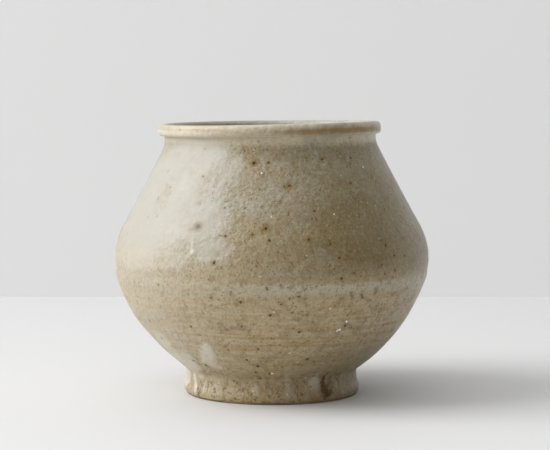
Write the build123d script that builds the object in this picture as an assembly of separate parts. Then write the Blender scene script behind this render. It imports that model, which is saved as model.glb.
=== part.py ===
"""Wide-mouthed moon jar of thrown stoneware.

Two bowls are thrown apart and luted rim to rim at the waist. The floor of the upper bowl is cut out,
and a rim collar with a rolled lip is luted on in its place. A foot ring is luted under the lower bowl.
Every luted joint is a keyed pair of faces with a layer of slip between them, and a coil is pressed
over the waist joint on the inside. A glaze coat covers the outside and another one the inside.

Every piece is turned about the Z axis. Sections are drawn as (radius, height), in millimetres, with
the jar standing on height zero.
"""

import os
from math import acos, asin, atan2, cos, degrees, hypot, sin, sqrt

from build123d import *

# Heights of the clay, stacked from the ground up
foot_ring_height = 10.0  # ground to the foot joint
base_height = 4.0  # the lower bowl's own share of the foot
lower_rise = 51.4  # corner between foot and bowl to the waist joint
waist_drop = 12.4  # waist joint to the widest place
shoulder_rise = 67.6  # widest place to the straight neck
neck_straight = 2.6  # straight neck below the lip
lip_height = 6.8  # rolled lip, underside to crest

# Radii of the clay's outside
belly_radius = 89.5
neck_radius = 60.1
foot_radius = 47.7  # at the corner between foot and bowl
foot_flare = 2.6  # how much wider the foot is at the ground
lip_overhang = 3.1  # how far the lip stands out from the neck

# Curves of the clay's outside
lower_belly_arc = 37.4
upper_belly_arc = 39.0
neck_arc = 10.6

# Clay thicknesses
wall = 4.6
floor_thickness = 6.4
foot_ring_wall = 8.6  # at the joint
foot_ring_draft = 1.8  # how much wider the well is at the ground

# Rounded corners
foot_cove = 2.5  # corner between foot and bowl
foot_edge = 1.1  # both edges of the standing ring
floor_cove = 6.0  # corner between floor and wall inside
lip_slope = 0.9  # rise of the lip's underside
lip_top_round = 2.5
lip_under_round = 1.8
lip_mouth_round = 2.6
lip_cove = 1.2  # corner between lip and neck

# Luted joints
slip = 0.6  # layer of slip in each joint
key_depth = 1.2  # ridge of the upper face, groove of the lower one
key_half_width = 1.3
coil_radius = 6.0  # roundness of the coil over the waist joint
coil_height = 1.5  # how far the coil stands into the jar

# Glaze
glaze = 0.6
bare_foot = 1.2  # strip above the ground that is wiped clean of glaze

# Stations along the axis
well_top = foot_ring_height + slip
floor_top = well_top + floor_thickness
foot_height = well_top + base_height
waist_height = foot_height + lower_rise
belly_height = waist_height + waist_drop
neck_height = belly_height + shoulder_rise
lip_underside = neck_height + neck_straight
crest_height = lip_underside + lip_height

# Radii at those stations
neck_bore = neck_radius - wall
lip_radius = neck_radius + lip_overhang
foot_bottom_radius = foot_radius + foot_flare
foot_joint_radius = foot_bottom_radius - foot_flare * foot_ring_height / foot_height
well_radius = foot_joint_radius - foot_ring_wall
foot_middle = foot_joint_radius - foot_ring_wall / 2
well_mouth_radius = well_radius + foot_ring_draft
crest_radius = (neck_bore + lip_mouth_round + lip_radius - lip_top_round) / 2
outer_reach = 2 * belly_radius  # beyond every section

# The waist, where the lower wall's arc takes over from the belly's
lower_belly_centre = Vector(belly_radius - lower_belly_arc, belly_height)
waist_angle = asin(waist_drop / lower_belly_arc)
waist_normal = Vector(cos(waist_angle), -sin(waist_angle))
waist_point = lower_belly_centre + waist_normal * lower_belly_arc

# The lower wall's arc leaves the waist without a corner and ends on the foot
to_foot = Vector(foot_radius, foot_height) - waist_point
lower_wall_arc = to_foot.dot(to_foot) / (2 * to_foot.dot(-waist_normal))
lower_wall_centre = waist_point - waist_normal * lower_wall_arc

# The shoulder is the straight line that touches the belly's arc and the neck's arc
upper_belly_centre = Vector(belly_radius - upper_belly_arc, belly_height)
neck_centre = Vector(neck_radius + neck_arc, neck_height)
to_neck = neck_centre - upper_belly_centre
shoulder_reach = acos((upper_belly_arc + neck_arc) / hypot(to_neck.X, to_neck.Y))
shoulder_angle = degrees(atan2(to_neck.Y, to_neck.X) - shoulder_reach)


def lower_wall_radius(height, depth):
    """Radius of the lower wall at a height, that deep inside the clay's outside."""
    rise = height - lower_wall_centre.Y
    return lower_wall_centre.X + sqrt((lower_wall_arc - depth) ** 2 - rise**2)


def wall_line(depth, bottom, top):
    """The wall's line that deep inside the clay's outside, from one height up to another."""
    lower_radius = lower_wall_arc - depth
    start_angle = degrees(asin((bottom - lower_wall_centre.Y) / lower_radius))
    waist_turn = -degrees(waist_angle) - start_angle
    lower_wall = CenterArc(lower_wall_centre, lower_radius, start_angle, waist_turn)
    lower_belly = CenterArc(
        lower_belly_centre, lower_belly_arc - depth, -degrees(waist_angle), degrees(waist_angle)
    )
    upper_belly = CenterArc(upper_belly_centre, upper_belly_arc - depth, 0, shoulder_angle)
    neck = CenterArc(neck_centre, neck_arc + depth, 180 + shoulder_angle, -shoulder_angle)
    shoulder = Line(upper_belly @ 1, neck @ 0)
    collar = Line(neck @ 1, (neck_radius - depth, top))
    return [lower_wall, lower_belly, upper_belly, shoulder, neck, collar]


def rounded(section, corners):
    """The section with each corner in the list of (point, radius) rounded."""
    for point, radius in corners:
        corner = section.vertices().sort_by_distance(point)[0]
        section = fillet(corner, radius)
    return section


def clay_section():
    """Half section of all the clay: foot, bowls, rim and the slip in the joints."""
    outside = wall_line(0, foot_height, lip_underside)
    inside = wall_line(wall, floor_top, crest_height)
    foot_corner = (foot_radius, foot_height)
    neck_corner = (neck_radius, lip_underside)
    lip_edge = (lip_radius, lip_underside + lip_slope)
    lip_top = (lip_radius, crest_height)
    lip_mouth = (neck_bore, crest_height)
    floor_corner = inside[0] @ 0
    standing_edge = (foot_bottom_radius, 0)
    well_edge = (well_mouth_radius, 0)
    lip = Polyline(neck_corner, lip_edge, lip_top, lip_mouth)
    base = Polyline(
        floor_corner,
        (0, floor_top),
        (0, well_top),
        (well_radius, well_top),
        well_edge,
        standing_edge,
        foot_corner,
    )
    corners = [
        (foot_corner, foot_cove),
        (floor_corner, floor_cove),
        (neck_corner, lip_cove),
        (lip_edge, lip_under_round),
        (lip_top, lip_top_round),
        (lip_mouth, lip_mouth_round),
        (standing_edge, foot_edge),
        (well_edge, foot_edge),
    ]
    return rounded(make_face([*outside, lip, *inside, base]), corners)


def hollow_section():
    """Half section of the space inside the bowls, from the floor up to the lip's crest."""
    inside = wall_line(wall, floor_top, crest_height)
    axis_side = Polyline(inside[0] @ 0, (0, floor_top), (0, crest_height), inside[-1] @ 1)
    return make_face([*inside, axis_side])


def coil_section(hollow):
    """Half section of the coil, which lies in the hollow over the waist joint."""
    joint_middle = waist_height + slip / 2
    inner_radius = lower_wall_radius(joint_middle, wall)
    centre = Pos(inner_radius + coil_radius - coil_height, joint_middle)
    return hollow & centre * Circle(coil_radius)


def key_line(height, middle):
    """A joint face from the axis outwards, with a groove at the middle of the wall."""
    return [
        (0, height),
        (middle - key_half_width, height),
        (middle, height - key_depth),
        (middle + key_half_width, height),
        (outer_reach, height),
    ]


def between(lower_line, upper_line):
    """The region between two lines that both run from the axis outwards."""
    return make_face(Polyline(*lower_line, *reversed(upper_line), close=True))


def level(height):
    """A flat line at a height, from the axis outwards."""
    return [(0, height), (outer_reach, height)]


def clay_pieces(clay):
    """Half sections of the clay pieces and of the slip in the joints between them."""
    waist_outside = lower_wall_radius(waist_height, 0)
    waist_inside = lower_wall_radius(waist_height, wall)
    waist_middle = (waist_outside + waist_inside) / 2
    rim_middle = neck_radius - wall / 2
    joints = [
        ("foot_slip", foot_ring_height, foot_middle),
        ("waist_slip", waist_height, waist_middle),
        ("rim_slip", neck_height, rim_middle),
    ]
    bodies = ["foot_ring", "lower_bowl", "upper_bowl", "rim_collar"]
    pieces = {}
    under = level(0)
    for body, (joint, height, middle) in zip(bodies, joints):
        lower_face = key_line(height, middle)
        upper_face = key_line(height + slip, middle)
        pieces[body] = clay & between(under, lower_face)
        pieces[joint] = clay & between(lower_face, upper_face)
        under = upper_face
    pieces[bodies[-1]] = clay & between(under, level(crest_height))
    return pieces


def glaze_coats(clay, hollow):
    """Half sections of the outer and the inner glaze coat, which meet on the lip's crest."""
    whole = clay + mirror(clay, Plane.YZ)
    coated = offset(whole, glaze) - whole
    mouth = between(level(lip_underside), level(crest_height + 2 * glaze))
    mouth &= Pos(0, crest_height) * Rectangle(2 * crest_radius, 2 * crest_height)
    inner_side = hollow + mouth
    outer_side = between(level(bare_foot), level(crest_height + 2 * glaze))
    outer_side -= Rectangle(2 * foot_middle, 2 * well_top)
    return {
        "outer_glaze": coated & (outer_side - inner_side),
        "inner_glaze": coated & inner_side,
    }


def sections():
    """Half sections of every piece, by name."""
    clay = clay_section()
    hollow = hollow_section()
    coil = coil_section(hollow)
    return {
        **clay_pieces(clay),
        "seam_coil": coil,
        **glaze_coats(clay + coil, hollow),
    }


def turned(section):
    """The solid that a half section sweeps in one turn about the jar's axis."""
    return revolve(Plane.XZ * section, Axis.Z)


os.makedirs("parts", exist_ok=True)
for name, section in sections().items():
    export_step(turned(section), f"parts/{name}.step")
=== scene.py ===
"""Wide-mouthed moon jar of thrown stoneware under a speckled beige glaze, standing in soft window light."""

import math
from functools import partial

import bpy
import numpy as np
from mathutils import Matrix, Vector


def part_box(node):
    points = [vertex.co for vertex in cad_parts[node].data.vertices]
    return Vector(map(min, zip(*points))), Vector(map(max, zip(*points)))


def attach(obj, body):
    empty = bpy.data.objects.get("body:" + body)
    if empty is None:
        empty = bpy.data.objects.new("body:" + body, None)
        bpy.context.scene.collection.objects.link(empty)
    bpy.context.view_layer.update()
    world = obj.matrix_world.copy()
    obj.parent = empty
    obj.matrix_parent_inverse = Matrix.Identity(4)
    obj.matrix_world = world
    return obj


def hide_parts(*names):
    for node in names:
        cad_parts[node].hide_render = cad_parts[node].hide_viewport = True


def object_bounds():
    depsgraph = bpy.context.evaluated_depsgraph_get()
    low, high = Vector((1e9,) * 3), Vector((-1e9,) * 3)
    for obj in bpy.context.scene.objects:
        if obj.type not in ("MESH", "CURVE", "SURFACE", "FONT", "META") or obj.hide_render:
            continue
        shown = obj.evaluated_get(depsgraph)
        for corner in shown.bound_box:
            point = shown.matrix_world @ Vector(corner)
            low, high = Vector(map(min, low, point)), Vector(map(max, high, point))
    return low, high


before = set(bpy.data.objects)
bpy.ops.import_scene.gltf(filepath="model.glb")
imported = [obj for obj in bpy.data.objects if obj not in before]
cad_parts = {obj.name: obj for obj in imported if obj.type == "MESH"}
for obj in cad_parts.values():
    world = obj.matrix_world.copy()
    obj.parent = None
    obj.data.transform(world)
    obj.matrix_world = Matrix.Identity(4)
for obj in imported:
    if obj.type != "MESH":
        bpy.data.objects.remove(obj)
cad_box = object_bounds()

# Foot ring. A ring of stoneware thrown on the wheel, luted under the lower bowl and trimmed with a loop
# tool, with its toe rolled outwards. The ground face and the well inside it are bare clay, which fires to
# a dull brown.
ring_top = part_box("foot_ring")[1].z
instep_radius = 0.04815
toe_roll = 0.00145
toe_height = 0.0036
toe_spread = 0.0036
ground_radius = 0.0494
ground_round = 0.0009
well_radius = 0.0399
well_draft = 0.0018
key_depth = 0.0012
key_half_width = 0.0013
clay_gap = 0.0008
clay_steps = 256
weld_reach = 1e-6
wheel_crease = math.radians(50)


def foot_radius(height):
    """Radius of the foot's clay at a height."""
    return instep_radius + toe_roll * math.exp(-(((height - toe_height) / toe_spread) ** 2))


def foot_side(low, high, depth, gap):
    """Points up the foot's outside between two heights, at a depth inside the clay."""
    count = max(1, round((high - low) / gap))
    heights = [low + (high - low) * i / count for i in range(count + 1)]
    return [(foot_radius(height) - depth, height) for height in heights]


def run(start, end, gap):
    """Points from start towards end, about gap apart, without the end itself."""
    count = max(1, round(math.dist(start, end) / gap))
    return [tuple(a + (b - a) * i / count for a, b in zip(start, end)) for i in range(count)]


def arc(centre, radius, start, end, gap):
    """Points on an arc between two angles in degrees, about gap apart, with both ends."""
    count = max(1, round(math.radians(abs(end - start)) * radius / gap))
    turns = [math.radians(start + (end - start) * i / count) for i in range(count + 1)]
    return [(centre[0] + radius * math.cos(t), centre[1] + radius * math.sin(t)) for t in turns]


def rounded(before, corner, after, rounding, gap):
    """Points on the arc that rounds a corner between two neighbours."""
    corner, before, after = (np.array(p[:2]) for p in (corner, before, after))
    back = (before - corner) / np.linalg.norm(before - corner)
    ahead = (after - corner) / np.linalg.norm(after - corner)
    half = math.acos(np.clip(back @ ahead, -1, 1)) / 2
    middle = (back + ahead) / np.linalg.norm(back + ahead)
    centre = corner + middle * rounding / math.sin(half)
    first = corner + back * rounding / math.tan(half)
    last = corner + ahead * rounding / math.tan(half)
    start, end = (math.degrees(math.atan2(*(p - centre)[::-1])) for p in (first, last))
    end = start + (end - start + 180) % 360 - 180
    return arc(centre, rounding, start, end, gap)


def outline(corners, gap):
    """Points about gap apart along an open line of corners: radius, height and, if round, a rounding."""
    turns = [[corners[0][:2]]]
    for before, corner, after in zip(corners, corners[1:], corners[2:]):
        turns.append(rounded(before, corner, after, corner[2], gap) if len(corner) > 2 else [corner])
    turns.append([corners[-1][:2]])
    points = []
    for turn, following in zip(turns, turns[1:]):
        points += turn[:-1] + run(turn[-1], following[0], gap)
    return points + turns[-1]


def thrown(name, section, steps, closed=True):
    """A piece turned about the jar's axis from a half section, closed or with both ends on the axis."""
    bpy.ops.object.select_all(action="DESELECT")
    bpy.ops.mesh.primitive_plane_add(size=clay_gap, location=(section[0][0], 0, section[0][1]))
    piece = bpy.context.object
    piece.name = piece.data.name = name
    bpy.ops.object.transform_apply(location=True)
    bpy.ops.object.mode_set(mode="EDIT")
    bpy.ops.mesh.merge(type="CENTER")
    following = section[1:] + section[:1] if closed else section[1:]
    for here, there in zip(section, following):
        step = (there[0] - here[0], 0, there[1] - here[1])
        bpy.ops.mesh.extrude_vertices_move(TRANSFORM_OT_translate={"value": step})
    bpy.ops.mesh.select_all(action="SELECT")
    bpy.ops.mesh.remove_doubles(threshold=weld_reach)
    bpy.ops.object.mode_set(mode="OBJECT")
    wheel = piece.modifiers.new("wheel", "SCREW")
    wheel.steps = wheel.render_steps = steps
    wheel.use_merge_vertices = True
    wheel.merge_threshold = weld_reach
    bpy.ops.object.modifier_apply(modifier="wheel")
    bpy.ops.object.mode_set(mode="EDIT")
    bpy.ops.mesh.select_all(action="SELECT")
    bpy.ops.mesh.normals_make_consistent(inside=False)
    bpy.ops.object.mode_set(mode="OBJECT")
    bpy.ops.object.shade_smooth_by_angle(angle=wheel_crease)
    return piece


def wired(tree, node, inputs):
    """The node with each of some inputs set to a value or linked to a socket."""
    for socket, value in inputs.items():
        if isinstance(value, bpy.types.NodeSocket):
            tree.links.new(value, node.inputs[socket])
        else:
            node.inputs[socket].default_value = value
    return node


def add(tree, kind, inputs=None, **settings):
    """A shader node of a kind, with its settings, and its inputs set or linked."""
    made = tree.nodes.new("ShaderNode" + kind)
    for name, value in settings.items():
        setattr(made, name, value)
    return wired(tree, made, inputs or {})


def maths(tree, operation, *values):
    """The result of a Math node on one to three values or sockets."""
    return add(tree, "Math", dict(enumerate(values)), operation=operation).outputs[0]


def product(tree, share, *others):
    """The product of some values or sockets."""
    for other in others:
        share = maths(tree, "MULTIPLY", share, other)
    return share


def faded(tree, value, start, end, low=0.0, high=1.0):
    """A value eased from low to high as it goes from start to end."""
    inputs = {"Value": value, "From Min": start, "From Max": end, "To Min": low, "To Max": high}
    return add(tree, "MapRange", inputs, interpolation_type="SMOOTHSTEP").outputs["Result"]


def mixed(tree, share, under, over):
    """The colour under a share of another colour."""
    return add(tree, "Mix", {0: share, 6: under, 7: over}, data_type="RGBA").outputs[2]


def noise(tree, place, size, detail=3.0, roughness=0.55):
    """Soft noise with lumps of about a size in metres."""
    inputs = {"Vector": place, "Scale": 1 / size, "Detail": detail, "Roughness": roughness}
    return add(tree, "TexNoise", inputs).outputs["Fac"]


def grains(tree, place, spacing):
    """Scattered points about a spacing apart: how far the nearest is, and a number of its own."""
    cells = add(tree, "TexVoronoi", {"Vector": place, "Scale": 1 / spacing})
    own = add(tree, "SeparateColor", {"Color": cells.outputs["Color"]})
    return product(tree, cells.outputs["Distance"], spacing), own.outputs["Red"]


def new_material(name):
    """An empty material, its node tree, its surface node and the place on the piece."""
    material = bpy.data.materials.new(name)
    material.use_nodes = True
    tree = material.node_tree
    surface = tree.nodes["Principled BSDF"]
    place = add(tree, "TexCoord").outputs["Object"]
    return material, tree, surface, place


def bare_clay(name, light, dark):
    """Fired clay between two colours: sandy, with iron grains and the fine lines of the turning tool."""
    material, tree, surface, place = new_material(name)
    flat = add(tree, "VectorMath", {0: place, 1: (1, 1, 0)}, operation="MULTIPLY").outputs[0]
    reach = add(tree, "VectorMath", {0: flat}, operation="LENGTH").outputs["Value"]
    lines = noise(tree, add(tree, "CombineXYZ", {"X": reach}).outputs[0], 0.0011, 2)
    patches = faded(tree, noise(tree, place, 0.012, 5), 0.3, 0.7)
    colour = mixed(tree, patches, light, dark)
    colour = mixed(tree, faded(tree, lines, 0.45, 0.7, 0, 0.35), colour, dark)
    apart, own = grains(tree, place, 0.0024)
    iron = product(tree, faded(tree, apart, 0.0002, 0.0005, 1, 0), faded(tree, own, 0.5, 0.55))
    colour = mixed(tree, iron, colour, (0.045, 0.025, 0.016, 1))
    sand = product(tree, noise(tree, place, 0.0006, 2), 0.00016)
    height = maths(tree, "MULTIPLY_ADD", lines, 0.00025, sand)
    bump = add(tree, "Bump", {"Height": height, "Strength": 1.0, "Distance": 1.0})
    wired(tree, surface, {"Base Color": colour, "Roughness": 0.88, "Normal": bump.outputs["Normal"]})
    return material


clay = bare_clay("bare_stoneware", (0.31, 0.218, 0.138, 1), (0.175, 0.112, 0.062, 1))
joint_middle = (foot_radius(ring_top) + well_radius) / 2
foot_section = outline(
    [
        *foot_side(ground_round * 2, ring_top, 0, clay_gap)[::-1],
        (ground_radius, 0, ground_round),
        (well_radius + well_draft, 0, ground_round),
        (well_radius, ring_top),
    ],
    clay_gap,
)
foot_section += [
    (joint_middle - key_half_width, ring_top),
    (joint_middle, ring_top - key_depth),
    (joint_middle + key_half_width, ring_top),
]
foot_ring = thrown("foot_ring_trimmed", foot_section, clay_steps)
foot_ring.data.materials.append(clay)
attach(foot_ring, "root")
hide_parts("foot_ring")

# Lower bowl. A bowl thrown on the wheel, with a thick floor and the upper part of the foot. Glaze hides all
# of it but its underside in the foot's well, which was turned with a loop tool and left bare.
well_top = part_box("foot_slip")[1].z
waist_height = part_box("lower_bowl")[1].z
belly_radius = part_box("upper_bowl")[1].x
waist_drop = 0.0124
belly_height = waist_height + waist_drop
corner_height = 0.0146
wall = 0.0046
floor_thickness = 0.0064
floor_top = well_top + floor_thickness
foot_cove = 0.0025
lower_belly_arc = 0.0374
well_ring_pitch = 0.0036
well_ring_depth = 0.0004
well_button = 0.0007
well_button_radius = 0.0028
hidden_gap = 0.006

lower_belly_centre = np.array((belly_radius - lower_belly_arc, belly_height))
waist_angle = math.asin(waist_drop / lower_belly_arc)
waist_normal = np.array((math.cos(waist_angle), -math.sin(waist_angle)))
waist_point = lower_belly_centre + waist_normal * lower_belly_arc
to_corner = np.array((foot_radius(corner_height), corner_height)) - waist_point
lower_wall_arc = to_corner @ to_corner / (2 * to_corner @ -waist_normal)
lower_wall_centre = waist_point - waist_normal * lower_wall_arc


def lower_wall(depth, low, high, gap):
    """Points up the lower wall between two heights, at a depth inside the clay's outside."""
    reach = lower_wall_arc - depth
    start, end = (math.degrees(math.asin((z - lower_wall_centre[1]) / reach)) for z in (low, high))
    return arc(lower_wall_centre, reach, start, end, gap)


def foot_corner(depth):
    """Where the foot's side meets the lower wall, at a depth inside the clay, with its rounding."""
    radius = foot_radius(corner_height) - depth
    rise = math.sqrt((lower_wall_arc - depth) ** 2 - (radius - lower_wall_centre[0]) ** 2)
    return radius, lower_wall_centre[1] - rise, foot_cove


def well_face(radius):
    """Height of the bowl's underside at a radius: shallow tool rings round a small button."""
    ring = (1 - math.cos(math.tau * radius / well_ring_pitch)) / 2
    button = math.exp(-((radius / well_button_radius) ** 2))
    return well_top + well_ring_depth * ring * (1 - radius / well_radius) - well_button * button


def bowl_section():
    """Half section of the lower bowl, from the middle of its underside to the middle of its floor."""
    underside = run((0.0, 0.0), (well_radius, 0.0), clay_gap)
    joint_edge = (foot_radius(well_top), well_top)
    corner = foot_corner(0)
    wall_foot = corner[1] + foot_cove
    outside = outline(
        [joint_edge, corner, *lower_wall(0, wall_foot, waist_height, hidden_gap)], hidden_gap
    )
    inside = lower_wall(wall, floor_top, waist_height, hidden_gap)[::-1]
    waist_middle = (outside[-1][0] + inside[0][0]) / 2
    return [
        *((radius, well_face(radius)) for radius, _ in underside),
        (joint_middle - key_half_width, well_top),
        (joint_middle, well_top - key_depth),
        (joint_middle + key_half_width, well_top),
        *outside,
        (waist_middle + key_half_width, waist_height),
        (waist_middle, waist_height - key_depth),
        (waist_middle - key_half_width, waist_height),
        *inside,
        (0.0, floor_top),
    ]


lower_bowl = thrown("lower_bowl_turned", bowl_section(), clay_steps, closed=False)
lower_bowl.data.materials.append(clay)
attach(lower_bowl, "root")
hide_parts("lower_bowl")

# Slip and coil. Slip is the same clay let down with water, spread in the joints before the pieces are
# pressed together. The coil is a soft roll of clay smeared over the waist joint from inside.
slip = bare_clay("luting_slip", (0.36, 0.27, 0.18, 1), (0.27, 0.18, 0.11, 1))
for node, finish in (("foot_slip", slip), ("waist_slip", slip), ("seam_coil", clay)):
    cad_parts[node].material_slots[0].material = finish

# Upper bowl. A second bowl was thrown, turned over and luted on rim to rim, and its floor was cut out.
# The jar dried a little askew, so the clay leans towards the mouth and the rim is slightly warped. Glaze
# hides all of it.
lean_shift = -0.0021
lean_tilt = 0.0165
rim_lift = 0.00025
rim_warp = 0.0042
lean_by_layer = (0.0, 0.0, 0.0, 0.0, 0.0, 0.0, 0.12, 0.14, 0.16, 0.30, 1.0)
jar_height = cad_box[1].z - cad_box[0].z
jar_width = cad_box[1].x - cad_box[0].x
node_crease = math.radians(30)


def lean_cage():
    """A lattice round the jar whose upper layers are pushed to one side, tipped and warped."""
    bpy.ops.object.select_all(action="DESELECT")
    bpy.ops.object.add(type="LATTICE", location=(0, 0, jar_height / 2))
    cage = bpy.context.object
    cage.scale = (jar_width, jar_width, jar_height)
    cage.data.points_u = 2
    cage.data.points_v = 2
    cage.data.points_w = len(lean_by_layer)
    for way in "uvw":
        setattr(cage.data, "interpolation_type_" + way, "KEY_LINEAR")
    for index, point in enumerate(cage.data.points):
        share = lean_by_layer[index // 4]
        sideways = point.co.x * jar_width
        lift = rim_lift - rim_warp * point.co.x * point.co.y
        point.co_deform.x += share * lean_shift / jar_width
        point.co_deform.z += share * (lean_tilt * sideways + lift) / jar_height
    return cage


cage = lean_cage()


def finished(piece, modifier):
    """The piece with a modifier applied."""
    bpy.ops.object.select_all(action="DESELECT")
    bpy.context.view_layer.objects.active = piece
    piece.select_set(True)
    bpy.ops.object.modifier_apply(modifier=modifier.name)
    return piece


def leaned(piece):
    """The piece pushed askew with the rest of the jar."""
    lean = piece.modifiers.new("lean", "LATTICE")
    lean.object = cage
    return finished(piece, lean)


def clay_copy(node, finish):
    """A copy of a clay node with its triangles joined, leaning with the jar."""
    piece = bpy.data.objects.new(node + "_clay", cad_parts[node].data.copy())
    bpy.context.scene.collection.objects.link(piece)
    leaned(piece)
    bpy.ops.object.mode_set(mode="EDIT")
    bpy.ops.mesh.select_all(action="SELECT")
    bpy.ops.mesh.remove_doubles(threshold=weld_reach)
    bpy.ops.object.mode_set(mode="OBJECT")
    bpy.ops.object.shade_smooth_by_angle(angle=node_crease)
    piece.data.materials.clear()
    piece.data.materials.append(finish)
    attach(piece, "root")
    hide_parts(node)
    return piece


clay_copy("upper_bowl", clay)
clay_copy("rim_slip", slip)

# Rim collar. A short straight neck with a rolled lip, thrown on the wheel from a coil laid on the upper
# bowl's cut mouth. Glaze hides it too.
collar_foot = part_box("rim_slip")[1].z
neck_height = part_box("upper_bowl")[1].z
neck_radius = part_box("rim_slip")[1].x
neck_bore = neck_radius - wall
lip_spread = 0.0002
lip_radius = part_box("rim_collar")[1].x + lip_spread
neck_straight = 0.0030
lip_under = neck_height + neck_straight
lip_sinking = 0.0005
crest_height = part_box("rim_collar")[1].z - lip_sinking
crest_radius = 0.05945
lip_slope = 0.0009
lip_cove = 0.0008
lip_under_round = 0.0008
lip_top_round = 0.0016
mouth_round = 0.0026


def lip_corners(depth):
    """Corners of the rolled lip at a depth inside the clay, from the neck to the crest."""
    return [
        (neck_radius - depth, lip_under + depth, lip_cove + depth),
        (lip_radius - depth, lip_under + lip_slope + depth, lip_under_round - depth),
        (lip_radius - depth, crest_height - depth, lip_top_round - depth),
        (crest_radius, crest_height - depth),
    ]


collar_middle = neck_radius - wall / 2
collar_section = outline(
    [
        (neck_radius, collar_foot),
        *lip_corners(0),
        (neck_bore, crest_height, mouth_round),
        (neck_bore, collar_foot),
    ],
    clay_gap,
)
collar_section += [
    (collar_middle - key_half_width, collar_foot),
    (collar_middle, collar_foot - key_depth),
    (collar_middle + key_half_width, collar_foot),
]
rim_collar = leaned(thrown("rim_collar_thrown", collar_section, clay_steps))
rim_collar.data.materials.append(clay)
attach(rim_collar, "root")
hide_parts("rim_collar")

# Outer glaze. A coat of wood-ash glaze over the whole outside, wiped off just above the ground. It is
# semi-matte and warm beige, thicker and greyer over the waist joint, and iron in the clay bleeds into it
# as specks and rust stains. Its colour also holds painted shade on the right and painted light, sheen and
# glints on the left and on the neck.
glaze_low, glaze_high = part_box("outer_glaze")
glaze = glaze_high.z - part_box("rim_collar")[1].z
upper_belly_arc = 0.0390
neck_arc = 0.0106
glaze_gap = 0.0013
glaze_steps = 512
seam_groove = (0.0722, 0.0020, -0.00018)
seam_ridge = (0.0680, 0.0026, 0.00016)
throwing_pitch = 0.0063
throwing_depth = 0.00003
dab_softness = 0.7
weight_levels = 20

upper_belly_centre = (belly_radius - upper_belly_arc, belly_height)
neck_centre = (neck_radius + neck_arc, neck_height)
to_neck = np.subtract(neck_centre, upper_belly_centre)
shoulder_reach = math.acos((upper_belly_arc + neck_arc) / math.hypot(*to_neck))
shoulder_angle = math.degrees(math.atan2(to_neck[1], to_neck[0]) - shoulder_reach)


def wall_line(depth, bottom, gap):
    """The jar's wall at a depth inside the clay's outside, from a height up to the neck."""
    turn = -math.degrees(waist_angle)
    waist_end = lower_wall_centre[1] - (lower_wall_arc - depth) * math.sin(waist_angle)
    return (
        lower_wall(depth, bottom, waist_end, gap)
        + arc(lower_belly_centre, lower_belly_arc - depth, turn, 0, gap)[1:]
        + arc(upper_belly_centre, upper_belly_arc - depth, 0, shoulder_angle, gap)[1:]
        + arc(neck_centre, neck_arc + depth, 180 + shoulder_angle, 180, gap)
    )


def outer_line(depth, gap):
    """The outside of the jar at a depth inside the clay, from above the ground to the lip's crest."""
    corner = foot_corner(depth)
    return outline(
        [
            *foot_side(glaze_low.z, corner[1] - foot_cove, depth, gap),
            corner,
            *wall_line(depth, corner[1] + foot_cove, gap),
            *lip_corners(depth),
        ],
        gap,
    )


def relief(height):
    """How far the coat swells at a height: the potter's throwing rings and the seam of the waist."""
    swell = throwing_depth * math.sin(math.tau * height / throwing_pitch)
    swell *= 1 if corner_height + foot_cove < height < neck_height - neck_arc else 0
    for middle, spread, rise in (seam_groove, seam_ridge):
        swell += rise * math.exp(-(((height - middle) / spread) ** 2))
    return swell


visible = [(radius + relief(height), height) for radius, height in outer_line(-glaze, glaze_gap)]
hidden = outer_line(0, hidden_gap)
outer_glaze = thrown("outer_glaze_coat", visible + hidden[::-1], glaze_steps)


class Paint:
    """Soft dabs on a piece, kept as a weight for each of its points."""

    def __init__(self, piece):
        places = np.empty(len(piece.data.vertices) * 3, np.float32)
        piece.data.vertices.foreach_get("co", places)
        x, y, self.height = places.reshape(-1, 3).T
        self.piece = piece
        self.turn = np.degrees(np.arctan2(x, -y))
        self.radius = np.hypot(x, y)
        self.weight = np.zeros(len(x))

    def dab(self, turn, height, wide, tall, strength=1.0):
        """A dab at degrees from the front and a height, with half its width and half its height."""
        across = np.radians((self.turn - turn + 180) % 360 - 180) * self.radius
        reach = np.hypot(across / wide, (self.height - height) / tall)
        ease = np.clip((1 - reach) / dab_softness, 0, 1)
        self.weight = np.maximum(self.weight, strength * ease * ease * (3 - 2 * ease))

    def keep(self, name):
        """Keeps the dabs as an attribute for the material and as a vertex group of the same weights."""
        tint = self.piece.data.attributes.new(name, "FLOAT", "POINT")
        tint.data.foreach_set("value", self.weight.astype(np.float32))
        group = self.piece.vertex_groups.new(name=name + "_group")
        levels = np.round(self.weight * weight_levels)
        for level in range(1, weight_levels + 1):
            group.add(np.flatnonzero(levels == level).tolist(), level / weight_levels, "REPLACE")


def painted(name, *groups):
    """Paints groups of dabs on the outer coat and keeps them under a name."""
    paint = Paint(outer_glaze)
    for group in groups:
        for dab in group:
            paint.dab(*dab)
    paint.keep(name)
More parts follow.
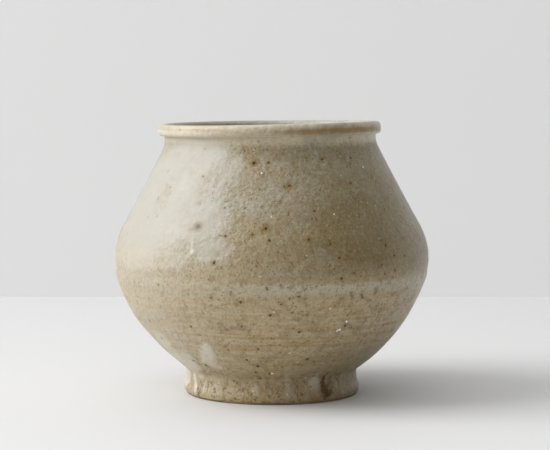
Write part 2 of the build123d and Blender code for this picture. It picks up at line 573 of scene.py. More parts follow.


# Pale, thick glaze: the finger mark above the foot, pools and runs on the foot, the drip under the blister,
# whose lower end is a painted glint.
# Every dab, here and below, is degrees from the front, height, half width, half height and strength.
finger_mark = (
    (-30.4, 0.0345, 0.0046, 0.0042, 0.62),
    (-31.4, 0.0325, 0.0066, 0.0050, 0.68),
    (-32.4, 0.0298, 0.0078, 0.0052, 0.68),
    (-33.8, 0.0268, 0.0084, 0.0052, 0.64),
    (-35.4, 0.0238, 0.0088, 0.0046, 0.56),
    (-31.5, 0.0212, 0.0060, 0.0026, 0.5),
)
foot_pools = (
    (-57, 0.0225, 0.0120, 0.0080, 0.8),
    (-61, 0.0330, 0.0140, 0.0130, 0.5),
    (-82, 0.0110, 0.0150, 0.0110, 0.9),
    (-78, 0.0200, 0.0120, 0.0100, 0.75),
    (-64, 0.0235, 0.0100, 0.0080, 0.6),
    (-55, 0.0150, 0.0060, 0.0060, 0.4),
    (-51, 0.0206, 0.0080, 0.0056, 0.75),
    (-60, 0.0175, 0.0120, 0.0044, 0.8),
    (-50, 0.0252, 0.0110, 0.0064, 0.55),
    (28.5, 0.0165, 0.0064, 0.0040, 0.3),
    (28.5, 0.0115, 0.0064, 0.0084, 0.42),
    (24, 0.0080, 0.0060, 0.0080, 0.22),
    (-88, 0.0340, 0.0300, 0.0260, 0.5),
    (-51, 0.0068, 0.0016, 0.0050, 0.45),
    (-11, 0.0086, 0.0040, 0.0060, 0.35),
)
drip_and_glint = (
    (-29.2, 0.0910, 0.0014, 0.0060, 0.36),
    (-28.8, 0.0881, 0.0017, 0.0024, 0.95),
)
# Each run is degrees at its top and at its end, half width and strength
foot_runs = (
    (-64.5, -59.5, 0.0018, 0.8),
    (9, 11, 0.0050, 0.27),
    (54, 53, 0.0040, 0.27),
)
run_dab_count = 6
run_top = 0.0165
run_spacing = 0.0024
run_half_height = 0.0040


def run_dabs(top_turn, end_turn, wide, strength):
    """The dabs of one run down the foot, each below the last."""
    drift = (end_turn - top_turn) / (run_dab_count - 1)
    return [
        (top_turn + drift * step, run_top - run_spacing * step, wide, run_half_height, strength)
        for step in range(run_dab_count)
    ]


painted("pooled_and_glint", finger_mark, foot_pools, drip_and_glint, *(run_dabs(*foot_run) for foot_run in foot_runs))

# Bare clay where the glaze crawled or was rubbed: a ragged patch on the foot and scuffs near the ground
foot_patch = (
    (36.6, 0.0168, 0.0012, 0.0026, 0.75),
    (36, 0.0135, 0.0019, 0.0036, 0.95),
    (35.2, 0.0102, 0.0026, 0.0038, 1.0),
    (36.8, 0.0072, 0.0046, 0.0034, 1.0),
    (37.6, 0.0046, 0.0046, 0.0036, 1.0),
    (40.4, 0.0058, 0.0038, 0.0030, 0.7),
    (41, 0.0120, 0.0042, 0.0056, 0.42),
    (43, 0.0088, 0.0015, 0.0042, 0.45),
    (47.5, 0.0146, 0.0028, 0.0014, 0.55),
)
left_scuffs = (
    (-55.5, 0.0056, 0.0046, 0.0058, 0.36),
    (-54.6, 0.0064, 0.0011, 0.0050, 0.5),
    (-47.3, 0.0071, 0.0010, 0.0052, 0.5),
)
scuff_turns = (-33, -27, -15, -4, 4, 13, 21, 29, 52, 60)
ground_scuffs = [(turn, 0.0014, 0.0022, 0.0012, 0.55) for turn in scuff_turns]
painted("bare", foot_patch, left_scuffs, ground_scuffs)

# Rust: stains on the lip, round the largest iron spots, and faintly on the left shoulder
lip_fleck_turns = (-52, -38, -21, -9)
lip_flecks = [(turn, 0.1525, 0.0024, 0.0014, 0.4) for turn in lip_fleck_turns]
lip_stain_turns = range(-16, 78, 3)
wall_stains = (
    (-8.8, 0.1351, 0.0044, 0.0036, 0.9),
    (-11, 0.1375, 0.0050, 0.0050, 0.6),
    (-11, 0.1412, 0.0110, 0.0046, 0.55),
    (-30.6, 0.0998, 0.0046, 0.0028, 0.62),
    (-52.5, 0.1165, 0.0120, 0.0170, 0.34),
    (7.3, 0.1228, 0.0022, 0.0056, 0.9),
    (-2.2, 0.1003, 0.0052, 0.0046, 0.85),
    (2.2, 0.0990, 0.0022, 0.0050, 0.7),
    (13.1, 0.0949, 0.0040, 0.0034, 0.6),
    (20.7, 0.0922, 0.0034, 0.0034, 0.6),
    (8.9, 0.0990, 0.0020, 0.0036, 0.6),
    (-18.8, 0.0018, 0.0018, 0.0016, 1.0),
)


def lip_stain(turn):
    """The dabs of the lip's long stain at one turn: strong on its face, and faint near its crest."""
    face = 0.75 * math.exp(-(((turn - 38) / 34) ** 4)) + 0.25
    crest = 0.3 * math.exp(-(((turn - 46) / 14) ** 2))
    return (turn, 0.1516, 0.0070, 0.0025, face), (turn, 0.1546, 0.0070, 0.0020, crest)


painted("rust", lip_flecks, wall_stains, *(lip_stain(turn) for turn in lip_stain_turns))

# Milky clouds, where the coat is thickest. The broad ones on the left and on the neck's left
# are also painted sheen and light on the window side.
milky_and_lit_clouds = (
    (-60, 0.1110, 0.072, 0.060, 0.95),
    (-34, 0.0980, 0.038, 0.026, 0.55),
    (-29, 0.1050, 0.030, 0.022, 0.82),
    (-22, 0.0895, 0.022, 0.012, 0.72),
    (-42, 0.0860, 0.040, 0.016, 0.66),
    (-42, 0.1405, 0.042, 0.014, 0.92),
    (-40, 0.1340, 0.026, 0.014, 0.86),
    (-28, 0.1335, 0.034, 0.017, 0.70),
    (-6, 0.1330, 0.036, 0.020, 0.30),
    (-34, 0.1195, 0.042, 0.034, 0.62),
    (-4, 0.1190, 0.040, 0.022, 0.40),
    (14, 0.1170, 0.036, 0.016, 0.33),
    (33, 0.1310, 0.044, 0.018, 0.20),
    (-60, 0.0500, 0.050, 0.036, 0.30),
    (-88, 0.0300, 0.036, 0.034, 0.80),
    (-80, 0.0800, 0.050, 0.018, 0.45),
)
painted("milky_and_lit", milky_and_lit_clouds)

# Ochre clouds, where the coat is thin over the clay
ochre_clouds = (
    (34, 0.0980, 0.046, 0.030, 1.0),
    (41, 0.1070, 0.034, 0.018, 1.0),
    (55, 0.1150, 0.030, 0.030, 0.6),
    (6, 0.0930, 0.045, 0.014, 0.25),
    (-2, 0.1430, 0.026, 0.007, 0.35),
    (28, 0.1230, 0.020, 0.010, 0.4),
    (24, 0.0500, 0.050, 0.016, 0.3),
    (-24, 0.0500, 0.044, 0.012, 0.3),
    (0, 0.0260, 0.050, 0.010, 0.3),
)
painted("ochre", ochre_clouds)

# The hand leaves the whole outside a little uneven, but not the edges where the coats and the clay meet
plain_edge = 0.002
edge_ease = 0.010
uneven = Paint(outer_glaze)
wall_radii, wall_heights = zip(*(point for point in visible if point[1] < neck_height))
outside = np.abs(uneven.radius - np.interp(uneven.height, wall_heights, wall_radii)) < glaze / 2
low_ease = np.clip((uneven.height - plain_edge) / edge_ease, 0, 1)
high_ease = np.clip((neck_height - uneven.height) / edge_ease, 0, 1)
uneven.weight = outside * low_ease * high_ease

# The lower wall and the foot swell a little on the left. The bowl is a little flat above the foot there,
# and so is the shoulder on the right, but by less than the coat's thickness.
swollen = Paint(outer_glaze)
swollen.dab(-88, 0.0540, 0.060, 0.024)
swollen.dab(-80, 0.0050, 0.030, 0.0055, 0.6)
swollen.dab(-86, 0.0112, 0.034, 0.0050)
swollen.weight *= uneven.weight > 0
swollen.keep("swollen")
flat = Paint(outer_glaze)
flat.dab(90, 0.1180, 0.060, 0.030)
flat.dab(-88, 0.0205, 0.040, 0.0075)
flat.weight *= uneven.weight > 0
flat.keep("flat")
uneven.weight *= 1 - flat.weight
uneven.keep("uneven")


def pressed(group, reach, lumps=None):
    """The outer coat pushed out by a reach where a group weighs, evenly or in soft lumps of a size."""
    push = outer_glaze.modifiers.new(group, "DISPLACE")
    push.vertex_group = group
    push.strength = reach
    push.mid_level = 0.5 if lumps else 0
    if lumps:
        push.texture = bpy.data.textures.new(group, "CLOUDS")
        push.texture.noise_scale = lumps
        push.texture_coords = "LOCAL"
    finished(outer_glaze, push)


pressed("uneven_group", 0.0008, 0.034)
pressed("uneven_group", 0.0004, 0.009)
pressed("swollen_group", 0.0010)
pressed("flat_group", -0.00045)
pressed("pooled_and_glint_group", 0.0004)
pressed("bare_group", -0.0004)
leaned(outer_glaze)


def wall_point(turn, height):
    """A point on the coat's outside, at degrees from the front and a height on the wall."""
    radius = np.interp(height, wall_heights, wall_radii)
    angle = math.radians(turn)
    return radius * math.sin(angle), -radius * math.cos(angle), height


# The largest iron spots, as degrees from the front, height and radius
iron_spots = (
    (-8.7, 0.1351, 0.0013),
    (7.4, 0.1232, 0.0010),
    (25.1, 0.1370, 0.0009),
    (37.2, 0.1238, 0.0007),
    (-2.2, 0.1008, 0.0012),
    (-6.9, 0.0976, 0.0007),
    (13.1, 0.0949, 0.0009),
    (20.7, 0.0925, 0.0007),
    (29.2, 0.0766, 0.0007),
    (43.0, 0.0748, 0.0007),
    (-1.7, 0.0691, 0.0008),
    (-11.1, 0.0617, 0.0010),
    (3.2, 0.0607, 0.0008),
    (34.0, 0.0629, 0.0008),
    (-11.8, 0.0473, 0.0008),
    (10.8, 0.0444, 0.0008),
    (30.1, 0.0467, 0.0009),
    (-6.3, 0.0343, 0.0008),
    (-12.5, 0.0272, 0.0010),
    (-7.5, 0.0235, 0.0012),
    (-9.3, 0.0194, 0.0010),
    (17.3, 0.0276, 0.0010),
    (-38.9, 0.0219, 0.0012),
    (-20.2, 0.0826, 0.0008),
    (-1.5, 0.0188, 0.0008),
)
# Grains of white feldspar, partly painted glints, likewise
feldspar_and_glint_spots = (
    (-0.1, 0.0188, 0.0010),
    (28.2, 0.0446, 0.0011),
    (27.2, 0.0441, 0.0008),
    (30.2, 0.0491, 0.0010),
    (24.7, 0.1079, 0.0006),
    (7.7, 0.0318, 0.0006),
    (21.6, 0.0572, 0.0007),
    (0.7, 0.0562, 0.0006),
    (48.7, 0.1320, 0.0006),
    (-4.6, 0.1298, 0.0006),
)
# Blisters, likewise
blisters = ((-28.6, 0.1012, 0.0020),)


def nearest(tree, place, spots):
    """How far the place is from the nearest of some spots, as a share of that spot's radius."""
    least = 100.0
    for turn, height, radius in spots:
        inputs = {0: place, 1: wall_point(turn, height)}
        apart = add(tree, "VectorMath", inputs, operation="DISTANCE").outputs["Value"]
        least = maths(tree, "MINIMUM", maths(tree, "DIVIDE", apart, radius), least)
    return least


def coat_colours(tree, height):
    """The coat's colour by height, from the foot up to the lip."""
    bands = (
        (0.000, (0.335, 0.255, 0.128)),
        (0.010, (0.350, 0.268, 0.138)),
        (0.018, (0.400, 0.312, 0.168)),
        (0.030, (0.438, 0.338, 0.186)),
        (0.042, (0.455, 0.355, 0.2)),
        (0.060, (0.425, 0.328, 0.180)),
        (0.075, (0.33, 0.257, 0.136)),
        (0.092, (0.262, 0.213, 0.120)),
        (0.110, (0.252, 0.213, 0.130)),
        (0.134, (0.262, 0.222, 0.136)),
        (0.1385, (0.213, 0.178, 0.105)),
        (0.1425, (0.238, 0.2, 0.12)),
        # The pale stops just under the lip are partly pooled glaze and partly painted light
        (0.1448, (0.40, 0.34, 0.225)),
        (0.1462, (0.50, 0.435, 0.31)),
        (0.149, (0.47, 0.405, 0.285)),
        (0.1525, (0.48, 0.415, 0.295)),
        (0.156, (0.55, 0.50, 0.39)),
    )
    ramp = add(tree, "ValToRGB", {"Fac": maths(tree, "DIVIDE", height, bands[-1][0])})
    stops = ramp.color_ramp.elements
    for band in bands[1:-1]:
        stops.new(band[0] / bands[-1][0])
    for stop, (at, colour) in zip(stops, bands):
        stop.position = at / bands[-1][0]
        stop.color = (*colour, 1)
    return ramp.outputs["Color"]


def tinted(tree, name, place, lumps, start, end, uneven_edge=1.2):
    """A painted attribute with its edge broken into lumps of a size, eased between two weights."""
    paint = add(tree, "Attribute", attribute_name=name).outputs["Fac"]
    lumpy = noise(tree, place, lumps, 4, 0.6)
    ragged = maths(tree, "MULTIPLY_ADD", lumpy, uneven_edge, -uneven_edge / 2)
    edge = maths(tree, "MULTIPLY_ADD", ragged, faded(tree, paint, 0, 0.25), paint)
    return faded(tree, edge, start, end)


def layered(tree, colour, *layers):
    """The colour under some layers, each a share and a colour, the lowest first."""
    for share, over in layers:
        colour = mixed(tree, share, colour, over)
    return colour


def largest(tree, share, *others):
    """The largest of some shares."""
    for other in others:
        share = maths(tree, "MAXIMUM", share, other)
    return share


def coat_body(tree, place, up, wavy, streaks, thick_and_lit):
    """The coat's own colour: bands by height, clouds, streaks, and the wheel's lines on the lower bowl."""
    clouds = noise(tree, place, 0.045, 4)
    streak = product(tree, faded(tree, streaks, 0.52, 0.75, 0, 0.4), maths(tree, "SUBTRACT", 1.0, thick_and_lit))
    drawn_out = add(tree, "Mapping", {"Vector": place, "Scale": (0.7, 0.7, 16)}).outputs["Vector"]
    wheel_lines = noise(tree, drawn_out, 0.03, 4)
    on_bowl = product(tree, up(0.020, 0.030), up(0.066, 0.058))
    warm_line = product(tree, faded(tree, wheel_lines, 0.5, 0.64, 0, 0.8), on_bowl)
    pale_line = product(tree, faded(tree, wheel_lines, 0.47, 0.37, 0, 0.8), on_bowl)
    return layered(
        tree,
        coat_colours(tree, wavy),
        (faded(tree, clouds, 0.5, 0.72, 0, 0.4), (0.365, 0.33, 0.235, 1)),
        (faded(tree, clouds, 0.5, 0.28, 0, 0.4), (0.29, 0.215, 0.095, 1)),
        (streak, (0.29, 0.20, 0.09, 1)),
        (warm_line, (0.36, 0.235, 0.09, 1)),
        (pale_line, (0.46, 0.385, 0.245, 1)),
    )


def painted_light_and_shade(tree, colour, across, up):
    """The colour with painted shade on the right, painted light on the lower left and the lip's left, and a
    pale band under the lip, partly pooled glaze and partly painted light.
    """
    # Painted shade: the right side darkened, less on the neck and lip
    shade = product(tree, across(-0.01, 0.06, 0, 0.55), up(0.07, 0.08))
    shade = product(tree, shade, up(0.135, 0.105, 0.6, 1.0), up(0.150, 0.146, 0.45, 1.0))
    # Painted shade low on the right, above the foot
    under = product(tree, across(-0.01, 0.045, 0, 0.52), up(0.052, 0.026))
    # A pale band under the lip, partly pooled glaze and partly painted light, stronger to the right
    neck_pool_and_painted_light = product(tree, up(0.1434, 0.1470), up(0.1502, 0.1494), across(-0.05, 0.0, 0.28, 0.46))
    # Painted highlight at the right end under the lip
    painted_highlight_neck_end = product(tree, up(0.1434, 0.1480), up(0.1518, 0.1508), across(0.044, 0.056, 0, 0.6))
    # Painted light on the lip's left
    painted_light_lip_left = product(tree, across(-0.01, -0.05, 0, 0.6), up(0.1476, 0.1486), up(0.1530, 0.1505))
    # Painted light and reflection on the lower left
    painted_light_lower_left = product(tree, across(0.0, -0.07, 0, 0.55), up(0.095, 0.08))
    return layered(
        tree,
        colour,
        (shade, (0.175, 0.134, 0.051, 1)),
        (under, (0.19, 0.14, 0.062, 1)),
        (neck_pool_and_painted_light, (0.64, 0.56, 0.39, 1)),
        (painted_highlight_neck_end, (0.66, 0.60, 0.46, 1)),
        (painted_light_lip_left, (0.68, 0.62, 0.50, 1)),
        (painted_light_lower_left, (0.49, 0.441, 0.34, 1)),
    )


def seam_band(tree, across, up, wavy):
    """The share of the greyer band over the waist joint, which fades out to the left."""
    low_edge = faded(tree, wavy, 0.0625, 0.0668)
    high_edge = up(0.0724, 0.0700)
    return product(tree, low_edge, high_edge, across(-0.06, 0.0, 0.15, 0.78))


def mottled(tree, colour, place, across, up, thin, calm, mottle):
    """The colour with haze and blotches on the right, mottling, grain and pits, and the pits' share."""
    on_right = product(tree, across(-0.03, 0.03), up(0.072, 0.080))
    drifts = faded(tree, noise(tree, place, 0.016, 3), 0.5, 0.64, 0, 0.45)
    haze = product(tree, drifts, on_right, maths(tree, "MULTIPLY_ADD", thin, -0.9, 1.0))
    lumps = faded(tree, noise(tree, place, 0.0048, 5, 0.7), 0.53, 0.66, 0, 0.6)
    blotches = product(tree, lumps, on_right, calm)
    grain = noise(tree, place, 0.0015, 3, 0.75)
    lively = product(tree, across(0.0, 0.06, 1.0, 1.45), calm)
    dark_mottle = product(tree, faded(tree, mottle, 0.5, 0.66, 0, 0.62), lively)
    pale_mottle = product(tree, faded(tree, mottle, 0.48, 0.30, 0, 0.17), lively)
    dark_grain = product(tree, faded(tree, grain, 0.5, 0.75, 0, 0.6), lively)
    pale_grain = product(tree, faded(tree, grain, 0.48, 0.24, 0, 0.34), calm)
    bends = maths(tree, "ABSOLUTE", maths(tree, "SUBTRACT", noise(tree, place, 0.0034, 2), 0.5))
    breaks = faded(tree, noise(tree, place, 0.0021, 2), 0.52, 0.64)
    pits = product(tree, faded(tree, bends, 0.0, 0.045, 1, 0), breaks, calm)
    colour = layered(
        tree,
        colour,
        (haze, (0.265, 0.25, 0.185, 1)),
        (blotches, (0.145, 0.105, 0.032, 1)),
        (dark_mottle, (0.235, 0.16, 0.068, 1)),
        (pale_mottle, (0.45, 0.40, 0.29, 1)),
        (dark_grain, (0.165, 0.11, 0.045, 1)),
        (pale_grain, (0.54, 0.49, 0.37, 1)),
        (product(tree, pits, 0.6), (0.11, 0.07, 0.028, 1)),
    )
    return colour, pits


def foot_streaks(tree, colour, place, up):
    """The colour with pale and rusty streaks down the foot, and small stains."""
    upright = add(tree, "Mapping", {"Vector": place, "Scale": (1, 1, 0.3)}).outputs["Vector"]
    drips = noise(tree, upright, 0.0045, 4, 0.65)
    spots = noise(tree, place, 0.0024, 3)
    on_foot = up(0.021, 0.014)
    pale_drip = product(tree, faded(tree, drips, 0.56, 0.72, 0, 0.6), on_foot)
    rusty_drip = product(tree, faded(tree, drips, 0.45, 0.33, 0, 0.8), on_foot)
    stains = product(tree, faded(tree, spots, 0.55, 0.68, 0, 0.85), on_foot)
    return layered(
        tree,
        colour,
        (pale_drip, (0.45, 0.41, 0.32, 1)),
        (rusty_drip, (0.24, 0.155, 0.07, 1)),
        (stains, (0.14, 0.09, 0.036, 1)),
    )


def kiln_marks(tree, colour, place, crooked, up):
    """The colour with pooled glaze and a painted glint, rust, blisters and bare clay, and the shares of
    clay and pits.
    """
    run_down_and_glint = tinted(tree, "pooled_and_glint", place, 0.004, 0.1, 0.7, 0.35)
    stained = tinted(tree, "rust", place, 0.004, 0.1, 1.0)
    stained = product(tree, stained, up(0.147, 0.150, 0.73, 0.88))
    worn = tinted(tree, "bare", place, 0.0022, 0.1, 1.0)
    blister = nearest(tree, crooked, blisters)
    blister_rim = faded(tree, blister, 2.1, 0.9)
    blister_pit = faded(tree, blister, 0.9, 0.45)
    colour = layered(
        tree,
        colour,
        (product(tree, run_down_and_glint, 0.85), (0.59, 0.545, 0.445, 1)),
        (stained, (0.215, 0.13, 0.034, 1)),
        (product(tree, blister_rim, 0.72), (0.215, 0.14, 0.068, 1)),
        (product(tree, blister_pit, 0.8), (0.195, 0.182, 0.18, 1)),
        (product(tree, worn, 0.92), (0.09, 0.052, 0.028, 1)),
    )
    return colour, worn, blister_pit


def iron_specks(tree, colour, place, crooked, up, calm):
    """The colour with iron specks in rusty halos, and the shares of all specks and of the coarse ones."""
    fine, fine_own = grains(tree, crooked, 0.0024)
    coarse, coarse_own = grains(tree, crooked, 0.0062)
    rusty, rusty_own = grains(tree, crooked, 0.0043)
    placed = nearest(tree, crooked, iron_spots)
    gathered = product(tree, faded(tree, noise(tree, place, 0.018, 3), 0.42, 0.6, 0.25, 1.0), calm)
    fine_kept = product(tree, faded(tree, fine_own, 0.2, 0.9), gathered)
    fine_speck = product(tree, faded(tree, fine, 0.00025, 0.0006, 1, 0), fine_kept)
    less_calm = maths(tree, "MULTIPLY_ADD", calm, 0.8, 0.2)
    coarse_kept = product(tree, faded(tree, coarse_own, 0.4, 0.8), less_calm)
    coarse_speck = product(tree, faded(tree, coarse, 0.0004, 0.00095, 1, 0), coarse_kept)
    halo = product(tree, faded(tree, coarse, 0.0004, 0.0022, 1, 0), coarse_kept, 0.5)
    rusty_kept = product(tree, faded(tree, rusty_own, 0.3, 0.8, 0, 0.8), gathered)
    rusty_speck = product(tree, faded(tree, rusty, 0.0003, 0.0010, 1, 0), rusty_kept)
    placed_speck = faded(tree, placed, 0.35, 1.15, 0.95, 0)
    ragged = noise(tree, place, 0.0012, 2)
    broken = maths(tree, "MULTIPLY_ADD", ragged, 7.0, maths(tree, "SUBTRACT", placed, 3.5))
    bled = product(tree, faded(tree, broken, 0.8, 3.4, 0.8, 0), up(0.07, 0.085, 0.3, 1.0))
    colour = layered(
        tree,
        colour,
        (halo, (0.21, 0.125, 0.042, 1)),
        (bled, (0.19, 0.115, 0.037, 1)),
        (rusty_speck, (0.22, 0.125, 0.034, 1)),
        (fine_speck, (0.10, 0.062, 0.018, 1)),
        (coarse_speck, (0.07, 0.038, 0.012, 1)),
        (placed_speck, (0.048, 0.026, 0.008, 1)),
    )
    return colour, largest(tree, fine_speck, coarse_speck, placed_speck), coarse_speck


def pale_specks_and_glints(tree, colour, crooked, calm):
    """The colour with fine pale grains and grains of feldspar, which are partly painted glints, and the
    share of both.
    """
    pale, pale_own = grains(tree, crooked, 0.0048)
    pale_kept = product(tree, faded(tree, pale_own, 0.2, 0.85), calm)
    pale_speck_and_glint = product(tree, faded(tree, pale, 0.0002, 0.0005, 1, 0), pale_kept)
    feldspar_and_glint = faded(tree, nearest(tree, crooked, feldspar_and_glint_spots), 0.5, 1.0, 1, 0)
    layers = (pale_speck_and_glint, (0.70, 0.67, 0.58, 1)), (feldspar_and_glint, (0.88, 0.86, 0.80, 1))
    return layered(tree, colour, *layers), largest(tree, pale_speck_and_glint, feldspar_and_glint)


def ash_glaze():
    """Semi-matte ash glaze: beige with milky and ochre clouds, iron specks and pale grains, and painted
    light, shade, sheen and glints.
    """
    material, tree, surface, place = new_material("ash_glaze")
    sideways, _, height = add(tree, "SeparateXYZ", {"Vector": place}).outputs
    across = partial(faded, tree, sideways)
    up = partial(faded, tree, height)

    # Places a little off their own, so that specks and bands have ragged edges
    stirred = add(tree, "TexNoise", {"Vector": place, "Scale": 1100.0, "Detail": 1.0}).outputs["Color"]
    shift = add(tree, "VectorMath", {0: stirred, 1: (0.5, 0.5, 0.5)}, operation="SUBTRACT").outputs[0]
    shift = add(tree, "VectorMath", {0: shift, "Scale": 0.0015}, operation="SCALE").outputs[0]
    crooked = add(tree, "VectorMath", {0: place, 1: shift}, operation="ADD").outputs[0]
    squeezed = add(tree, "Mapping", {"Vector": place, "Scale": (1, 1, 13)}).outputs["Vector"]
    streaks = noise(tree, squeezed, 0.05, 5)
    wavy = maths(tree, "MULTIPLY_ADD", maths(tree, "SUBTRACT", streaks, 0.5), 0.007, height)

    # Where the coat is thick (on the left this also carries painted sheen and light), thin, or calm and
    # free of specks
    thick_and_lit = tinted(tree, "milky_and_lit", place, 0.009, 0.1, 1.0, 0.9)
    thin = tinted(tree, "ochre", place, 0.009, 0.1, 1.0, 1.9)
    milky_and_lit_paint = add(tree, "Attribute", attribute_name="milky_and_lit").outputs["Fac"]
    calm = product(tree, faded(tree, milky_and_lit_paint, 0.4, 0.9, 1.0, 0.2), across(-0.08, -0.01, 0.4, 1.0))
    calm = product(tree, calm, up(0.1435, 0.1475, 1.0, 0.25))

    # The colour, from the body of the coat to the grains on top of it
    within = add(tree, "Attribute", attribute_name="within").outputs["Fac"]
    # The inner coat's own grey, with painted shade darkening its left side
    inside = mixed(tree, across(-0.02, 0.03), (0.27, 0.255, 0.215, 1), (0.46, 0.46, 0.43, 1))
    mottle = noise(tree, place, 0.005, 5, 0.7)
    colour = layered(
        tree,
        coat_body(tree, place, up, wavy, streaks, thick_and_lit),
        # Paler where the coat is thick, which on the left is also painted sheen
        (product(tree, thick_and_lit, 0.75), (0.402, 0.389, 0.343, 1)),
        (product(tree, thin, 0.8), (0.165, 0.118, 0.039, 1)),
        (product(tree, within, 0.8), inside),
    )
    colour = painted_light_and_shade(tree, colour, across, up)
    colour = mixed(tree, seam_band(tree, across, up, wavy), colour, (0.44, 0.40, 0.295, 1))
    colour, pits = mottled(tree, colour, place, across, up, thin, calm, mottle)
    colour = foot_streaks(tree, colour, place, up)
    colour, worn, blister_pit = kiln_marks(tree, colour, place, crooked, up)
    colour, iron, coarse_speck = iron_specks(tree, colour, place, crooked, up, calm)
    colour, white_and_glint = pale_specks_and_glints(tree, colour, crooked, calm)

    # The sheen, dull on specks, pits and bare clay
    sheen = maths(tree, "MULTIPLY_ADD", noise(tree, place, 0.014, 4), 0.24, 0.36)
    sheen = maths(tree, "MULTIPLY_ADD", thick_and_lit, 0.14, sheen)
    rough = largest(tree, sheen, product(tree, worn, 0.8))
    bright = maths(tree, "SUBTRACT", 1.0, largest(tree, iron, pits, worn, blister_pit))
    gloss = product(tree, maths(tree, "MULTIPLY_ADD", thick_and_lit, 0.4, 0.5), bright)

    # The fine orange peel of the surface, smoother where the coat is thick
    peel = product(tree, noise(tree, place, 0.0013, 2, 0.5), 0.00014)
    peel = maths(tree, "MULTIPLY_ADD", mottle, 0.00022, peel)
    peel = maths(tree, "MULTIPLY_ADD", noise(tree, place, 0.0030, 2, 0.5), 0.00065, peel)
    peel = product(tree, peel, faded(tree, milky_and_lit_paint, 0.5, 0.95, 1.0, 0.2))
    peel = maths(tree, "MULTIPLY_ADD", coarse_speck, -0.00008, peel)
    peel = maths(tree, "MULTIPLY_ADD", white_and_glint, 0.00008, peel)
    bump = add(tree, "Bump", {"Height": peel, "Strength": 1.0, "Distance": 1.0})
    inputs = {
        "Base Color": colour,
        "Roughness": rough,
        "Specular IOR Level": gloss,
        "Coat Weight": across(0.02, 0.08, 0, 0.5),
        "Coat Roughness": 0.3,
        "Normal": bump.outputs["Normal"],
    }
    wired(tree, surface, inputs)
    return material


coat = ash_glaze()
outer_glaze.data.materials.append(coat)
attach(outer_glaze, "root")
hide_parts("outer_glaze")

# Inner glaze. The same ash glaze poured round the inside, over the wall, the coil and the floor. It is
# greyer there, shows the throwing rings through, and meets the outer coat on the lip's crest. Its left side
# is darkened with painted shade.
floor_cove = 0.0060
cove_share = 0.6
coil_radius = 0.0060
coil_height = 0.0015
half_slip = 0.0003
coil_middle = waist_height + half_slip
coil_centre = lower_wall(wall, coil_middle, waist_height, hidden_gap)[0][0] + coil_radius - coil_height
inner_steps = 256
inner_gap = 0.0016
inner_ring_pitch = 0.0085
inner_ring_depth = 0.00022


def inner_line(depth, gap):
    """The inside at a depth inside the clay's outside, from the lip's crest to the floor's middle."""
    cover = depth - wall
    floor = floor_top + cover
    return outline(
        [
            (crest_radius, crest_height + cover),
            (neck_radius - depth, crest_height + cover, mouth_round + cover),
            *wall_line(depth, floor + floor_cove * cove_share, gap)[::-1],
            (*lower_wall(depth, floor, waist_height, gap)[0], floor_cove - cover),
            (0.0, floor),
        ],
        gap,
    )


def over_coil(radius, height, cover):
    """The radius of the inside at a height, drawn in where the coil stands out under a cover."""
    half = (coil_radius + cover) ** 2 - (height - coil_middle) ** 2
    return min(radius, coil_centre - math.sqrt(half)) if half > 0 else radius


def ringed(radius, height):
    """A point of the inside with the throwing rings of the wall or the floor."""
    along = height if height > floor_top + floor_cove else radius
    ring = inner_ring_depth * math.sin(math.tau * along / inner_ring_pitch)
    if height > neck_height - neck_arc:
        return radius, height
    if height > floor_top + floor_cove:
        return radius + ring, height
    return radius, height + ring * min(1.0, radius / inner_ring_pitch)


inner_visible = [ringed(over_coil(r, z, glaze), z) for r, z in inner_line(wall + glaze, inner_gap)]
inner_hidden = [(over_coil(r, z, 0), z) for r, z in inner_line(wall, hidden_gap)]
inner_section = inner_visible[::-1] + inner_hidden
inner_glaze = thrown("inner_glaze_coat", inner_section, inner_steps, closed=False)
within = Paint(inner_glaze)
within.weight += 1
within.keep("within")
leaned(inner_glaze)
inner_glaze.data.materials.append(coat)
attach(inner_glaze, "root")
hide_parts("inner_glaze")
bpy.data.objects.remove(cage)

# Table and wall. A pale table runs back to a pale plaster wall.
wall_distance = 0.49
table_reach = 16.0
wall_reach = 4.0


def plain_surface(name, colour, glow=0.0):
    """A plain matt surface, clear from behind, with a glow that stands for light from the room."""
    material, tree, surface, _ = new_material(name)
    wired(tree, surface, {"Base Color": colour, "Roughness": 0.7})
    wired(tree, surface, {"Emission Color": colour, "Emission Strength": glow})
    behind = add(tree, "NewGeometry").outputs["Backfacing"]
    clear = add(tree, "BsdfTransparent").outputs["BSDF"]
    one_sided = add(tree, "MixShader", {0: behind, 1: surface.outputs["BSDF"], 2: clear})
    wired(tree, tree.nodes["Material Output"], {"Surface": one_sided.outputs["Shader"]})
    return material


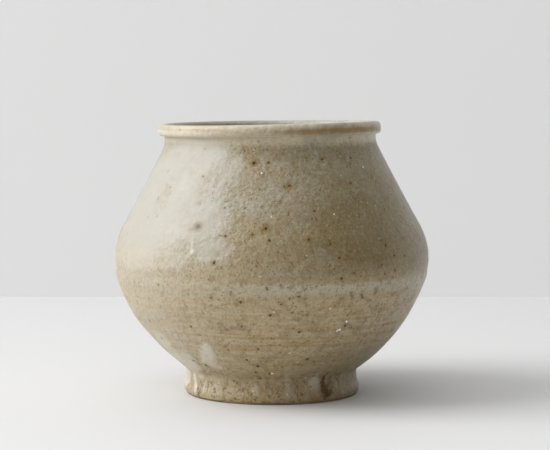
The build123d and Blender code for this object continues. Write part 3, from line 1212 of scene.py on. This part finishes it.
bpy.ops.mesh.primitive_plane_add(size=table_reach, location=(0, wall_distance - table_reach / 2, 0))
table = bpy.context.object
table.name = "table"
table.data.materials.append(plain_surface("table_paint", (0.635, 0.635, 0.635, 1)))
bpy.ops.mesh.primitive_plane_add(size=wall_reach, location=(0, wall_distance, 0))
backdrop = bpy.context.object
backdrop.name = "backdrop"
backdrop.rotation_euler.x = math.pi / 2
backdrop.data.materials.append(plain_surface("wall_paint", (0.488, 0.488, 0.488, 1), 0.56))

# Light. A large window stands to the left, and the pale room fills in from all sides.
scene = bpy.context.scene
scene.view_settings.view_transform = "Standard"
room_light = (0.26, 0.84)
room_slope = (0.6, 1.8)
window_place = (-2.74, -0.20, 2.10)
window_size = (2.6, 2.6)
window_power = 131
window_aim_height = 0.1
room = bpy.data.worlds.new("room")
room.use_nodes = True
room_tree = room.node_tree
towards = add(room_tree, "TexCoord").outputs["Generated"]
sky = add(room_tree, "SeparateXYZ", {"Vector": towards})
overhead = faded(room_tree, sky.outputs["Z"], 0, 1, *room_light)
leftward = faded(room_tree, sky.outputs["X"], 0.8, -0.8, *room_slope)
daylight = product(room_tree, overhead, leftward)
wired(room_tree, room_tree.nodes["Background"], {"Color": (1, 1, 1, 1), "Strength": daylight})
scene.world = room
bpy.ops.object.light_add(type="AREA", location=window_place)
window = bpy.context.object
window.name = "window"
window.data.shape = "RECTANGLE"
window.data.size, window.data.size_y = window_size
window.data.energy = window_power
aim = -window.location.copy()
aim.z += window_aim_height
window.rotation_euler = aim.to_track_quat("-Z", "Y").to_euler()

# Camera. It looks at the jar from a little above, from far enough away to keep the outline nearly flat.
picture_width = 550
focal_pixels = 1912
camera_place = (0.00155, -1.1, 0.178)
camera_pitch = math.radians(4.23)
bpy.ops.object.camera_add(location=camera_place, rotation=(math.pi / 2 - camera_pitch, 0, 0))
camera = bpy.context.object
camera.data.sensor_width = 36
camera.data.lens = focal_pixels / picture_width * camera.data.sensor_width
camera.data.clip_end = 20
scene.camera = camera
